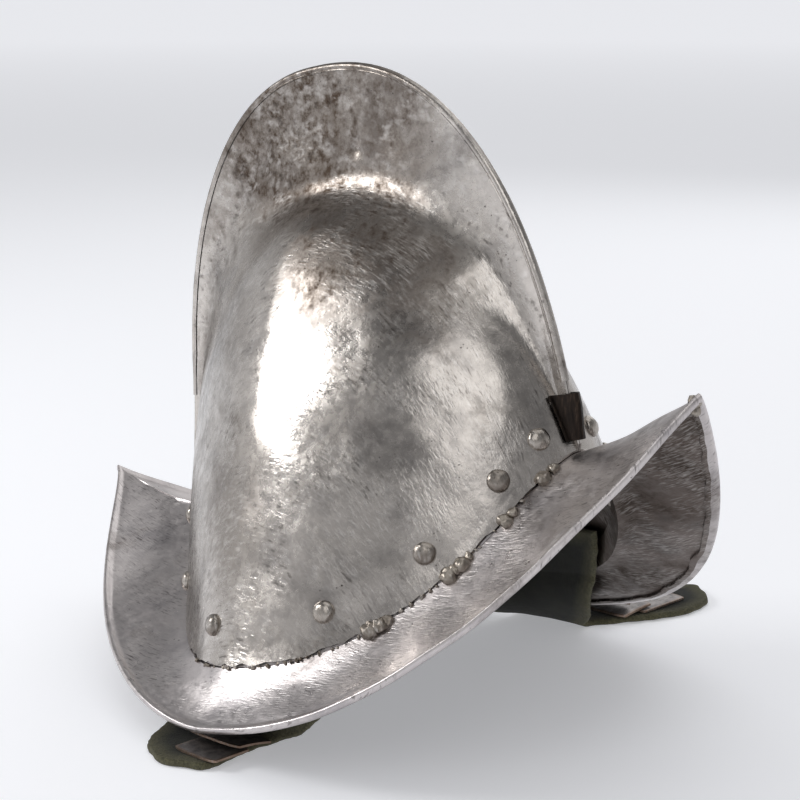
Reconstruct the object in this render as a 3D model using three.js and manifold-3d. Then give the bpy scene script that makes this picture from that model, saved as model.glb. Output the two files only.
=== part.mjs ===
import * as THREE from 'three';
import { mergeVertices } from 'three/addons/utils/BufferGeometryUtils.js';
import Module from 'manifold-3d';

// A combed morion helmet lying on its folded cheekpieces, in millimetres.
// Up is +Z, the wearer looks along -Y and the wearer's left is +X.

const wasm = await Module();
wasm.setup();

// Skull, from the head opening up to its own top without the comb
const openingHalfWidth = 101;
const openingHalfLength = 127;
const skullHeight = 187.6;
const skullWall = 1.5;
const halvesGap = 0.3;
const widthFalloff = 0.85;
const widthRound = 1.94;
const lengthFalloff = 2.25;
const lengthRound = 2.05;
const planPower = 1.74;
const frontKeel = 1.05;
const rearKeel = 0.53;

// Lower edge of the skull, which rises to the front and the rear
const frontRise = 53.6;
const frontRisePower = 2.37;
const rearRise = 69.2;
const rearRisePower = 2.72;

// Comb, a tall hollow blade along the middle
const combFrontReach = 113;
const combRearReach = 119.9;
const combBaseHeight = 63.1;
const combHeight = 180;
const combFrontPower = 2.15;
const combRearPower = 2.32;
const combFootBlend = 6;
const combEdgeHalf = 1.25;
const combBaseHalf = 5;
const combBodyDepth = 70;
const combFilletTop = 8;
const combFilletSide = 26;
const hubHeight = 60;

// Rolled bead over the comb's edge
const beadSheet = 0.85;
const beadDepth = 4.5;
const beadClearance = 0.3;
const beadStartRise = 2.5;

// Brim, one sheet with a collar inside the skull and a hem turned under
const brimSideOverhang = 21;
const brimHalfWidth = openingHalfWidth + brimSideOverhang;
const brimFrontReach = 179.8;
const brimRearReach = 184.1;
const brimMiddle = 3.5;
const brimSidePower = { front: 2.14, rear: 2.25 };
const brimTipPower = { front: 1.16, rear: 0.92 };
const brimDrop = 20.3;
const brimFrontLift = 93.8;
const brimRearLift = 108;
const brimFrontLiftPower = 1.53;
const brimRearLiftPower = 2.55;
const brimSheet = 1.3;
const brimSag = 2.2;
const hemWidth = 5.5;
const hemThickness = 2.8;
const rimBead = 1.2;
const collarHeight = 8;
const collarClearance = 0.6;
const seamClearance = 0.45;
const tipKnobRadius = 3;

// Braze lumps along the seam, on the wearer's left and then the right
const lumpRadius = 3;
const lumpStandoff = 3.9;

// Dome-headed rivets above the seam
const rivetRise = 15.5;
const rearmostRivetRise = 13.5;
const rivetHeadRadius = 4.6;
const rivetHeadHeight = 2.8;
const rivetShankRadius = 1.8;
const rivetTailRadius = 3;
const rivetTailThickness = 0.9;
const rivetSeat = 0.35;
const rivetHoleClearance = 0.3;

// Plume holder, a tapered half tube with flanges at the rear foot of the comb
const holderTopRadius = 4.2;
const holderFootRadius = 3.6;
const holderFlange = 1.6;
const holderOffset = 1.1;
const holderLength = 19;
const holderSheet = 1;
const holderSeat = 0.9;
const holderFootRise = 4.2;

// Pose and cheekpieces
const pitch = THREE.MathUtils.degToRad(11.64);
const floorDrop = 34;
const strapThickness = 3;
const strapTopHeight = 56;
const strapWidth = 100;
const strapLeftReach = 47;
const strapRightReach = 125;
const strapInset = 6.2;
const lameSheet = 1.2;
const lameClearance = 0.35;
const lameLeftReach = 62;
const lameRightReach = 82;

// How finely the faceted forms are divided
const columns = 32;
const skullRows = 9;
const combRows = 5;
const rivetSides = 8;

const steel = { color: 0xa9a5a3, roughness: 0.34, metalness: 1 };
const brimSteel = { color: 0xa19c9a, roughness: 0.4, metalness: 1 };
const darkSteel = { color: 0x5f5852, roughness: 0.45, metalness: 1 };
const blackSteel = { color: 0x2e2824, roughness: 0.6, metalness: 1 };
const leather = { color: 0x35382b, roughness: 0.95, metalness: 0 };

// Stations of each leather cheekpiece from its top inside the skull to its tip on the floor.
// out is a share of the reach, up of the top height, front and rear of the strap width,
// and follow says how closely the leather keeps to the curved wall.
const leftStrapStations = [
  { out: 0.0, up: 1.0, front: -0.3, rear: 0.6, follow: 1 },
  { out: 0.0, up: 0.8, front: -0.31, rear: 0.57, follow: 1 },
  { out: 0.0, up: 0.6, front: -0.32, rear: 0.53, follow: 1 },
  { out: 0.0, up: 0.42, front: -0.34, rear: 0.46, follow: 1 },
  { out: -0.03, up: 0.24, front: -0.36, rear: 0.36, follow: 0.7 },
  { out: 0.0, up: 0.1, front: -0.38, rear: 0.25, follow: 0.15 },
  { out: 0.1, up: 0.0, front: -0.4, rear: 0.19, follow: 0 },
  { out: 0.35, up: 0.0, front: -0.38, rear: 0.21, follow: 0 },
  { out: 0.62, up: 0.0, front: -0.3, rear: 0.21, follow: 0 },
  { out: 0.88, up: 0.0, front: -0.19, rear: 0.19, follow: 0 },
  { out: 1.0, up: 0.0, front: -0.11, rear: 0.13, follow: 0 },
];
const rightStrapStations = [
  { out: 0.0, up: 1.0, front: -0.34, rear: 0.6, follow: 1 },
  { out: 0.0, up: 0.8, front: -0.36, rear: 0.57, follow: 1 },
  { out: 0.0, up: 0.6, front: -0.38, rear: 0.53, follow: 1 },
  { out: 0.0, up: 0.42, front: -0.41, rear: 0.47, follow: 1 },
  { out: 0.03, up: 0.27, front: -0.45, rear: 0.38, follow: 0.95 },
  { out: 0.1, up: 0.13, front: -0.5, rear: 0.28, follow: 0.7 },
  { out: 0.19, up: 0.04, front: -0.55, rear: 0.18, follow: 0.35 },
  { out: 0.3, up: 0.0, front: -0.6, rear: 0.1, follow: 0 },
  { out: 0.44, up: 0.0, front: -0.54, rear: 0.18, follow: 0 },
  { out: 0.6, up: 0.0, front: -0.4, rear: 0.26, follow: 0 },
  { out: 0.8, up: 0.0, front: -0.16, rear: 0.29, follow: 0 },
  { out: 0.94, up: 0.0, front: -0.04, rear: 0.24, follow: 0 },
  { out: 1.0, up: 0.0, front: 0.05, rear: 0.15, follow: 0 },
];

// Steel lames on the straps. start and end are shares of the lame reach beyond the wall,
// startLift and endLift are heights over the leather in sheet thicknesses,
// front and rear are shares of the strap width, arch is the rise of the middle.
const leftLames = [
  { name: 'lame_left_1', start: 0.3, end: 0.64, startLift: 0.4, endLift: 0.4, front: -0.05, rear: 0.2, arch: 0 },
  { name: 'lame_left_2', start: 0.1, end: 0.43, startLift: 0.5, endLift: 2.6, front: -0.12, rear: 0.2, arch: 0.3 },
];
const rightLames = [
  { name: 'lame_right_1', start: 0.82, end: 1.24, startLift: 0.4, endLift: 0.4, front: 0.02, rear: 0.23, arch: 0 },
  { name: 'lame_right_2', start: 0.66, end: 0.94, startLift: 0.5, endLift: 2, front: -0.05, rear: 0.21, arch: 0.3 },
  { name: 'lame_right_3', start: 0.48, end: 0.78, startLift: 9, endLift: 2.9, front: -0.12, rear: 0.16, arch: 0.5 },
];

// Shares of the half length at which rivets and braze lumps sit, negative to the front
const rivetShares = [-0.84, -0.53, -0.108, 0.365, 0.67, 0.87, 0.965];
const leftLumpShares = [0.52, 0.55, 0.73, 0.765, 0.87, 0.955];
const rightLumpShares = [-0.35, 0.3, 0.7];

function smoothStep(from, to, value) {
  return THREE.MathUtils.smoothstep(value, from, to);
}

// The last distance along a ray at which a test still holds
function lastInside(test, limit) {
  let near = 0;
  let far = limit;
  for (let step = 0; step < 26; step++) {
    const middle = (near + far) / 2;
    if (test(middle)) {
      near = middle;
    } else {
      far = middle;
    }
  }
  return (near + far) / 2;
}

function smoothMinimum(a, b, blend) {
  if (blend <= 0) {
    return Math.min(a, b);
  }
  const share = Math.max(blend - Math.abs(a - b), 0) / blend;
  return Math.min(a, b) - (share * share * blend) / 4;
}

function skullHalfWidth(z) {
  const level = THREE.MathUtils.clamp(z / skullHeight, 0, 1);
  return openingHalfWidth * (1 - level ** widthFalloff) ** (1 / widthRound);
}

function skullHalfLength(z) {
  const level = THREE.MathUtils.clamp(z / skullHeight, 0, 1);
  return openingHalfLength * (1 - level ** lengthFalloff) ** (1 / lengthRound);
}

function planShare(share) {
  return (1 - Math.abs(share) ** planPower) ** (share < 0 ? frontKeel : rearKeel);
}

// A point of the skull's surface on the wearer's left, without the comb
function skullPoint(share, z) {
  return new THREE.Vector3(skullHalfWidth(z) * planShare(share), skullHalfLength(z) * share, z);
}

function seamHeight(share) {
  return share < 0 ? frontRise * (-share) ** frontRisePower : rearRise * share ** rearRisePower;
}

function insideSkull(x, y, z) {
  const share = y / skullHalfLength(z);
  return z < skullHeight && Math.abs(share) < 1 && x < skullHalfWidth(z) * planShare(share);
}

function insideComb(y, z) {
  const reach = y < 0 ? combFrontReach : combRearReach;
  const power = y < 0 ? combFrontPower : combRearPower;
  const along = Math.abs(y) / reach;
  const above = Math.abs(z - combBaseHeight) / combHeight;
  return along ** power + above ** power < 1;
}

// Distances from the hub in the middle plane at an angle from the rear, over the top, to the front
function skullReach(angle) {
  const y = Math.cos(angle);
  const z = Math.sin(angle);
  return lastInside((r) => insideSkull(0, r * y, hubHeight + r * z), 2 * skullHeight);
}

function combRise(angle) {
  const y = Math.cos(angle);
  const z = Math.sin(angle);
  const reach = lastInside((r) => insideComb(r * y, hubHeight + r * z), 2 * combHeight);
  const rise = reach - skullReach(angle);
  if (Math.abs(rise) > combFootBlend) {
    return Math.max(rise, 0);
  }
  return (rise + combFootBlend) ** 2 / (4 * combFootBlend);
}

function crestPoint(angle) {
  const reach = skullReach(angle) + combRise(angle);
  return new THREE.Vector3(0, reach * Math.cos(angle), hubHeight + reach * Math.sin(angle));
}

// How far the crest reaches to the rear at a height near its foot
function crestLengthAt(z) {
  return crestPoint(Math.atan2(z - hubHeight, skullHalfLength(z))).y;
}

function combHalfThickness(y, z) {
  const angle = Math.atan2(z - hubHeight, y);
  const depth = skullReach(angle) + combRise(angle) - Math.hypot(y, z - hubHeight);
  return combEdgeHalf + (combBaseHalf - combEdgeHalf) * smoothStep(beadDepth, combBodyDepth, depth);
}

function distanceFromSkull(x, y, z) {
  const ray = new THREE.Vector3(x, y, z - hubHeight);
  const length = ray.length();
  ray.normalize();
  const inside = (r) => insideSkull(r * ray.x, r * ray.y, hubHeight + r * ray.z);
  return 0.92 * (length - lastInside(inside, 2 * skullHeight));
}

// Half width of the skull and comb together at a height and a place along the helmet
function shellHalfWidth(y, z, inset) {
  const angle = Math.atan2(z - hubHeight, y);
  const widest = combFilletTop + (combFilletSide - combFilletTop) * Math.abs(Math.cos(angle));
  const fillet = Math.min(widest, 0.85 * Math.max(combRise(angle) - beadDepth, 0));
  const blade = combHalfThickness(y, z) - inset;
  const outside = (x) => smoothMinimum(distanceFromSkull(x, y, z) + inset, x - blade, fillet);
  return lastInside((x) => outside(x) < 0, 1.2 * openingHalfWidth);
}

// Values of a curve's parameter that divide it into equal lengths
function evenParameters(curve, from, to, count) {
  const samples = 400;
  const lengths = [0];
  let previous = curve(from);
  for (let i = 1; i <= samples; i++) {
    const point = curve(from + ((to - from) * i) / samples);
    lengths.push(lengths[i - 1] + point.distanceTo(previous));
    previous = point;
  }
  const parameters = [];
  let i = 0;
  for (let step = 0; step <= count; step++) {
    const wanted = (lengths[samples] * step) / count;
    while (i < samples - 1 && lengths[i + 1] < wanted) {
      i++;
    }
    const share = (wanted - lengths[i]) / (lengths[i + 1] - lengths[i]);
    parameters.push(from + ((to - from) * (i + share)) / samples);
  }
  return parameters;
}

// A closed body from points and triangles, without collapsed faces and facing outwards
function bodyGeometry(points, triangles) {
  const positions = new Float32Array(points.flatMap((point) => [point.x, point.y, point.z]));
  const raw = new THREE.BufferGeometry();
  raw.setAttribute('position', new THREE.BufferAttribute(positions, 3));
  raw.setIndex(triangles.flat());
  const geometry = mergeVertices(raw, 1e-3);
  const index = geometry.getIndex().array;
  const vertex = (i) => new THREE.Vector3().fromBufferAttribute(geometry.getAttribute('position'), i);
  const kept = [];
  let volume = 0;
  for (let i = 0; i < index.length; i += 3) {
    const [a, b, c] = [index[i], index[i + 1], index[i + 2]];
    if (a !== b && b !== c && c !== a) {
      kept.push([a, b, c]);
      volume += vertex(a).dot(vertex(b).cross(vertex(c)));
    }
  }
  geometry.setIndex(kept.flatMap(([a, b, c]) => (volume < 0 ? [a, c, b] : [a, b, c])));
  geometry.computeVertexNormals();
  return geometry;
}

// Triangles over one end section, none where the section has closed to a line
function capTriangles(section, offset) {
  const distinct = [];
  section.forEach((point, i) => {
    if (!distinct.some((other) => section[other].distanceTo(point) < 1e-3)) {
      distinct.push(i);
    }
  });
  if (distinct.length < 3) {
    return [];
  }
  const normal = new THREE.Vector3();
  distinct.forEach((i, k) => {
    normal.add(section[i].clone().cross(section[distinct[(k + 1) % distinct.length]]));
  });
  const turn = new THREE.Quaternion().setFromUnitVectors(normal.normalize(), new THREE.Vector3(0, 0, 1));
  const flat = distinct.map((i) => {
    const point = section[i].clone().applyQuaternion(turn);
    return new THREE.Vector2(point.x, point.y);
  });
  const faces = THREE.ShapeUtils.triangulateShape(flat, []);
  return faces.map((face) => face.map((k) => offset + distinct[k]));
}

// A body through a row of sections, joined end to end where the row closes on itself
function loft(sections, closed) {
  const size = sections[0].length;
  const triangles = [];
  const spans = closed ? sections.length : sections.length - 1;
  for (let i = 0; i < spans; i++) {
    const here = i * size;
    const there = ((i + 1) % sections.length) * size;
    for (let j = 0; j < size; j++) {
      const next = (j + 1) % size;
      triangles.push([here + j, there + j, there + next], [here + j, there + next, here + next]);
    }
  }
  if (!closed) {
    const end = (sections.length - 1) * size;
    triangles.push(...capTriangles(sections[0], 0).map(([a, b, c]) => [a, b, c]));
    triangles.push(...capTriangles(sections.at(-1), end).map(([a, b, c]) => [a, c, b]));
  }
  return bodyGeometry(sections.flat(), triangles);
}

// A bent sheet of even thickness about a grid of points
function sheetGeometry(grid, thickness) {
  const rows = grid.length;
  const across = grid[0].length;
  const sides = grid.map((row, r) => row.map((point, c) => {
    const along = grid[Math.min(r + 1, rows - 1)][c].clone().sub(grid[Math.max(r - 1, 0)][c]);
    const over = row[Math.min(c + 1, across - 1)].clone().sub(row[Math.max(c - 1, 0)]);
    const offset = along.cross(over).setLength(thickness / 2);
    return [point.clone().add(offset), point.clone().sub(offset)];
  }));
  return loft(sides.map((row) => [...row.map(([top]) => top), ...row.map(([, under]) => under).reverse()]));
}

function toManifold(geometry) {
  const positions = geometry.getAttribute('position').array;
  return new wasm.Manifold(new wasm.Mesh({
    numProp: 3,
    vertProperties: new Float32Array(positions),
    triVerts: new Uint32Array(geometry.getIndex().array),
  }));
}

function fromManifold(solid) {
  const { vertProperties, triVerts } = solid.getMesh();
  const geometry = new THREE.BufferGeometry();
  geometry.setAttribute('position', new THREE.BufferAttribute(new Float32Array(vertProperties), 3));
  geometry.setIndex(Array.from(triVerts));
  geometry.computeVertexNormals();
  return geometry;
}

function weldedPrimitive(geometry, matrix) {
  geometry.deleteAttribute('normal');
  geometry.deleteAttribute('uv');
  return mergeVertices(geometry.applyMatrix4(matrix), 1e-3);
}

// Which way a surface with matching points on the right is mirrored
function mirrored(geometry) {
  const points = geometry.clone().applyMatrix4(new THREE.Matrix4().makeScale(-1, 1, 1));
  const index = points.getIndex().array;
  for (let i = 0; i < index.length; i += 3) {
    [index[i + 1], index[i + 2]] = [index[i + 2], index[i + 1]];
  }
  return points;
}

function seamPoint(share) {
  return skullPoint(share, seamHeight(share));
}

// Height of the seam's line at a place along the helmet
function seamHeightAt(y, z) {
  return seamHeight(THREE.MathUtils.clamp(y / skullHalfLength(z), -1, 1));
}

// How far the brim lies below the seam's line so that the gap across the sloping seam is even
function seamDrop(share) {
  const step = 0.01;
  const from = seamPoint(Math.max(share - step, -1));
  const to = seamPoint(Math.min(share + step, 1));
  return seamClearance * Math.hypot(1, (to.z - from.z) / (to.y - from.y));
}

const seamShares = evenParameters(seamPoint, -1, 1, columns);
const frontFoot = Math.atan2(frontRise - hubHeight, -skullHalfLength(frontRise)) + 2 * Math.PI;
const rearFoot = Math.atan2(rearRise - hubHeight, skullHalfLength(rearRise));
const crestAngles = evenParameters(crestPoint, frontFoot % (2 * Math.PI), rearFoot, columns);

// Points up one column of the shell from the seam to the crest, in the middle plane
function columnPoints(column) {
  const bottom = seamPoint(seamShares[column]).setX(0);
  const atFoot = column === 0 || column === columns;
  const top = atFoot ? bottom.clone() : crestPoint(crestAngles[column]);
  const at = (share) => bottom.clone().lerp(top, share);
  const crossing = lastInside((share) => insideSkull(0, at(share).y, at(share).z), 1);
  const crown = THREE.MathUtils.clamp(crossing, 0.55, 0.93);
  const points = [];
  for (let row = 0; row <= skullRows; row++) {
    points.push(at(crown * (1 - (1 - row / skullRows) ** 1.5)));
  }
  for (let row = 1; row <= combRows; row++) {
    points.push(at(crown + (1 - crown) * (row / combRows) ** 1.2));
  }
  return points;
}

// One half of the skull with its half of the comb, on the wearer's left
function shellHalf() {
  const sections = [];
  for (let column = 0; column <= columns; column++) {
    const points = columnPoints(column);
    const outer = points.map(({ y, z }) => new THREE.Vector3(shellHalfWidth(y, z, 0), y, z));
    const inner = points.map(({ y, z }) => {
      const x = shellHalfWidth(y, z, skullWall);
      return new THREE.Vector3(Math.max(x, halvesGap / 2), y, z);
    });
    sections.push([...outer, ...inner.reverse()]);
  }
  return loft(sections, false);
}

// The rolled bead that covers the comb's edge from its front foot to the plume holder
function combBead(endHeight) {
  const inside = combEdgeHalf + beadClearance;
  const outside = inside + beadSheet;
  const profileFor = (depth) => [
    [outside, -depth],
    [outside, beadClearance],
    [0.55 * outside, beadClearance + beadSheet],
    [-0.55 * outside, beadClearance + beadSheet],
    [-outside, beadClearance],
    [-outside, -depth],
    [-inside, -depth],
    [-inside, beadClearance],
    [inside, beadClearance],
    [inside, -depth],
  ];
  const sections = [];
  for (let column = 1; column < columns; column++) {
    const point = crestPoint(crestAngles[column]);
    const behind = point.y > 0;
    const rise = combRise(crestAngles[column]);
    if (rise > beadStartRise && !(behind && point.z < endHeight)) {
      const profile = profileFor(Math.min(beadDepth, 0.6 * rise));
      const along = crestPoint(crestAngles[column + 1]).sub(crestPoint(crestAngles[column - 1])).normalize();
      const out = new THREE.Vector3(1, 0, 0).cross(along).negate();
      out.multiplyScalar(Math.sign(out.dot(point.clone().setZ(point.z - hubHeight))));
      sections.push(profile.map(([x, height]) => point.clone().addScaledVector(out, height).setX(x)));
    }
  }
  return loft(sections, false);
}

function brimEdgePoint(share) {
  const end = share < 0 ? 'front' : 'rear';
  const reach = share < 0 ? brimFrontReach : brimRearReach;
  const away = Math.abs(share);
  const lift = share < 0
    ? brimFrontLift * away ** brimFrontLiftPower
    : brimRearLift * away ** brimRearLiftPower;
  const x = brimHalfWidth * (1 - away ** brimSidePower[end]) ** brimTipPower[end];
  const middle = brimMiddle * (1 - away);
  return new THREE.Vector3(x, middle + reach * share, lift - brimDrop);
}

// Points moved inwards in plan by an even distance from a closed ring
function insetRing(ring, distance) {
  return ring.map((point, i) => {
    const before = ring[(i + ring.length - 1) % ring.length];
    const after = ring[(i + 1) % ring.length];
    const normalOf = (a, b) => new THREE.Vector3(-(b.y - a.y), b.x - a.x, 0).normalize();
    const first = normalOf(before, point);
    const second = normalOf(point, after);
    const miter = first.clone().add(second).multiplyScalar(distance / (1 + first.dot(second)));
    return point.clone().add(miter);
  });
}

// The same values round the whole ring: up the left side from front to rear and back down the right
function wholeRing(values, pointOf) {
  const left = values.map(pointOf);
  const right = left.slice(1, -1).reverse().map((point) => point.clone().setX(-point.x));
  return [...left, ...right];
}

function brimGeometry() {
  const seam = wholeRing(seamShares, seamPoint);
  const drops = wholeRing(seamShares, (share) => new THREE.Vector3(0, 0, seamDrop(share))).map(({ z }) => z);
  const edge = wholeRing(evenParameters(brimEdgePoint, -1, 1, columns), brimEdgePoint);
  const raised = wholeRing(seamShares, (share) => skullPoint(share, seamHeight(share) + collarHeight));
  const collarOut = skullWall + collarClearance;
  const collarIn = collarOut + brimSheet;
  const collarTopOut = insetRing(raised, collarOut);
  const collarTopIn = insetRing(raised, collarIn);
  const collarFootOut = insetRing(seam, collarOut);
  const collarFootIn = insetRing(seam, collarIn);
  const sections = seam.map((start, i) => {
    const count = seam.length;
    const along = edge[(i + 1) % count].clone().sub(edge[(i + count - 1) % count]).normalize();
    const top = start.clone().setZ(start.z - drops[i]);
    const footOut = collarFootOut[i];
    const footIn = collarFootIn[i];
    const out = edge[i].clone().sub(top).normalize();
    const up = out.clone().cross(along).normalize();
    up.multiplyScalar(Math.sign(up.z));
    const span = edge[i].distanceTo(top);
    const surface = (share, below) => top.clone()
      .addScaledVector(out, span * share)
      .addScaledVector(up, -4 * brimSag * share * (1 - share) - below);
    const hemShare = 1 - hemWidth / span;
    return [
      collarTopOut[i],
      collarTopIn[i],
      footIn.clone().setZ(seamHeightAt(footIn.y, start.z) - drops[i] - 1.3 * brimSheet),
      surface(0.25 * hemShare, brimSheet),
      surface(0.65 * hemShare, brimSheet),
      surface(hemShare, brimSheet),
      surface(hemShare, hemThickness),
      surface(1, hemThickness - rimBead / 2),
      surface(1, brimSheet / 2).addScaledVector(out, rimBead),
      surface(1, -rimBead / 2),
      surface(hemShare, 0),
      surface(0.6 * hemShare, 0),
      surface(0.25 * hemShare, 0),
      top,
      footOut.clone().setZ(seamHeightAt(footOut.y, start.z) - drops[i]),
    ];
  });
  return loft(sections, true);
}

// The brim with its braze lumps and the knob at the rear tip, all one piece
function brimWithLumps() {
  let brim = toManifold(brimGeometry());
  const lumps = [
    ...leftLumpShares.map((share, i) => ({ share, side: 1, size: i % 2 ? 1.1 : 0.85 })),
    ...rightLumpShares.map((share) => ({ share, side: -1, size: 0.9 })),
  ];
  for (const { share, side, size } of lumps) {
    const start = seamPoint(share);
    const out = new THREE.Vector3(start.x / openingHalfWidth ** 2, start.y / openingHalfLength ** 2, 0);
    start.addScaledVector(out.normalize(), lumpStandoff * size);
    start.z -= 0.35 * lumpRadius;
    const matrix = new THREE.Matrix4().makeTranslation(start.x * side, start.y, start.z);
    matrix.multiply(new THREE.Matrix4().makeScale(size, size, size));
    brim = brim.add(toManifold(weldedPrimitive(new THREE.IcosahedronGeometry(lumpRadius, 1), matrix)));
  }
  const tip = brimEdgePoint(1);
  const knob = new THREE.Matrix4().makeTranslation(0, tip.y - tipKnobRadius, tip.z - tipKnobRadius);
  knob.multiply(new THREE.Matrix4().makeScale(0.8, 0.9, 1.5));
  brim = brim.add(toManifold(weldedPrimitive(new THREE.IcosahedronGeometry(tipKnobRadius, 1), knob)));
  return fromManifold(brim);
}

// Place and outward direction of the rivet at a share of the half length
function rivetSeatAt(share, rise) {
  const height = seamHeight(share) + rise;
  const step = 0.004;
  const place = skullPoint(share, height);
  const along = skullPoint(share + step, height).sub(skullPoint(share - step, height));
  const above = skullPoint(share, height + 1).sub(skullPoint(share, height - 1));
  return { place, outwards: along.cross(above).normalize() };
}

function rivetGeometry() {
  const tailTop = -skullWall - rivetSeat;
  const headTop = rivetSeat + rivetHeadHeight;
  const profile = [
    [0, tailTop - rivetTailThickness],
    [rivetTailRadius, tailTop - rivetTailThickness],
    [rivetTailRadius, tailTop],
    [rivetShankRadius, tailTop],
    [rivetShankRadius, rivetSeat],
    [rivetHeadRadius, rivetSeat],
    [0.92 * rivetHeadRadius, rivetSeat + 0.42 * rivetHeadHeight],
    [0.6 * rivetHeadRadius, rivetSeat + 0.82 * rivetHeadHeight],
    [0, headTop],
  ];
  return new THREE.LatheGeometry(profile.map(([r, h]) => new THREE.Vector2(r, h)), rivetSides);
}

function rivetHole({ place, outwards }) {
  const length = 8 * skullWall;
  const turn = new THREE.Quaternion().setFromUnitVectors(new THREE.Vector3(0, 1, 0), outwards);
  const matrix = new THREE.Matrix4().compose(place, turn, new THREE.Vector3(1, 1, 1));
  const radius = rivetShankRadius + rivetHoleClearance;
  return toManifold(weldedPrimitive(new THREE.CylinderGeometry(radius, radius, length, rivetSides), matrix));
}

// How far the shell reaches to the rear at a height and a distance from its middle line
function shellLengthAt(x, z) {
  const crest = crestLengthAt(z);
  return x > 0 ? lastInside((y) => shellHalfWidth(y, z, 0) > x, crest) : crest;
}

// One row across the plume holder's middle surface: a flange, a half round and a flange
function holderRow(radius, z) {
  const arcSides = 8;
  const baseAt = (x) => {
    const place = Math.abs(holderOffset + x);
    const slope = shellLengthAt(place + 0.5, z) - shellLengthAt(Math.abs(place - 0.5), z);
    const off = holderSeat + holderSheet / 2;
    return shellLengthAt(place, z) + off * Math.min(Math.hypot(1, slope), 4);
  };
  const footAt = (x) => THREE.MathUtils.mapLinear(x, -radius, radius, baseAt(-radius), baseAt(radius));
  const arc = [];
  for (let i = 0; i <= arcSides; i++) {
    const turn = Math.PI * (1 - i / arcSides);
    arc.push({ x: radius * Math.cos(turn), height: Math.sin(turn) });
  }
  const needed = arc.slice(1, -1).map(({ x, height }) => (baseAt(x) - footAt(x)) / height);
  const rise = Math.max(radius, ...needed);
  const tip = radius + holderFlange;
  const row = [
    { x: -tip, y: baseAt(-tip) },
    ...arc.map(({ x, height }) => ({ x, y: footAt(x) + rise * height })),
    { x: tip, y: baseAt(tip) },
  ];
  return row.map(({ x, y }) => new THREE.Vector3(holderOffset + x, y, z));
}

// A bent sheet that widens upwards and follows the rear foot of the comb
function plumeHolder(foot) {
  const rows = 4;
  const grid = [];
  for (let row = 0; row <= rows; row++) {
    const share = row / rows;
    const radius = holderFootRadius + (holderTopRadius - holderFootRadius) * share;
    grid.push(holderRow(radius, foot + holderLength * share));
  }
  return sheetGeometry(grid, holderSheet);
}

// Inner face of the skull at a place in the lying pose, for the top of a cheekpiece
function wallHalfWidth(y, heightOverFloor) {
  const z = heightOverFloor - floorDrop;
  const ownY = y * Math.cos(pitch) + z * Math.sin(pitch);
  const ownZ = Math.max(z * Math.cos(pitch) - y * Math.sin(pitch), 0);
  const widthAt = (place) => skullHalfWidth(ownZ) * planShare(place / skullHalfLength(ownZ));
  const slope = (widthAt(ownY + 1) - widthAt(ownY - 1)) / 2;
  return widthAt(ownY) - strapInset * Math.hypot(1, slope);
}

const strapAnchor = wallHalfWidth(0, strapTopHeight);

// Middle surface of a cheekpiece's leather on the left, as rows of points from the top to the tip
function strapGrid(stations, reach) {
  const across = 8;
  return stations.map(({ out, up, front, rear, follow }) => {
    const level = up * strapTopHeight + strapThickness / 2;
    const row = [];
    for (let i = 0; i <= across; i++) {
      const y = strapWidth * (front + ((rear - front) * i) / across);
      const height = Math.max(level + follow * y * Math.tan(pitch), strapThickness / 2);
      const wall = follow > 0 ? wallHalfWidth(y, height) - strapAnchor : 0;
      row.push(new THREE.Vector3(strapAnchor + out * reach + follow * wall, y, height));
    }
    return row;
  });
}

function lameGrid({ start, end, startLift, endLift, front, rear, arch }, reach) {
  const along = 3;
  const across = 4;
  const grid = [];
  for (let i = 0; i <= along; i++) {
    const share = i / along;
    const lift = lameSheet * (startLift + (endLift - startLift) * share + 4 * arch * share * (1 - share));
    const height = strapThickness + lameClearance + lameSheet / 2 + lift;
    const row = [];
    for (let k = 0; k <= across; k++) {
      const y = strapWidth * (front + ((rear - front) * k) / across);
      row.push(new THREE.Vector3(strapAnchor + reach * (start + (end - start) * share), y, height));
    }
    grid.push(row);
  }
  return grid;
}

function piece(name, geometry, look) {
  const mesh = new THREE.Mesh(geometry, new THREE.MeshStandardMaterial(look));
  mesh.name = name;
  return mesh;
}

const helmet = new THREE.Group();
helmet.rotation.x = pitch;
helmet.position.z = floorDrop;

const seats = rivetShares.map((share, i) => {
  const rearmost = i === rivetShares.length - 1;
  return rivetSeatAt(share, rearmost ? rearmostRivetRise : rivetRise);
});
const leftHalf = seats.reduce((half, seat) => half.subtract(rivetHole(seat)), toManifold(shellHalf()));
const leftHalfGeometry = fromManifold(leftHalf);
helmet.add(piece('skull_left', leftHalfGeometry, steel));
helmet.add(piece('skull_right', mirrored(leftHalfGeometry), steel));
helmet.add(piece('brim', brimWithLumps(), brimSteel));

const holderFoot = rearRise + holderFootRise;
const holderTop = holderFoot + holderLength;
helmet.add(piece('comb_bead', combBead(holderTop + beadDepth), steel));

helmet.add(piece('plume_holder', plumeHolder(holderFoot), blackSteel));

seats.forEach(({ place, outwards }, i) => {
  for (const [side, sign] of [['left', 1], ['right', -1]]) {
    const rivet = piece(`rivet_${side}_${i + 1}`, rivetGeometry(), darkSteel);
    const mirror = new THREE.Vector3(sign, 1, 1);
    rivet.position.copy(place).multiply(mirror);
    rivet.quaternion.setFromUnitVectors(new THREE.Vector3(0, 1, 0), outwards.clone().multiply(mirror));
    helmet.add(rivet);
  }
});

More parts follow.
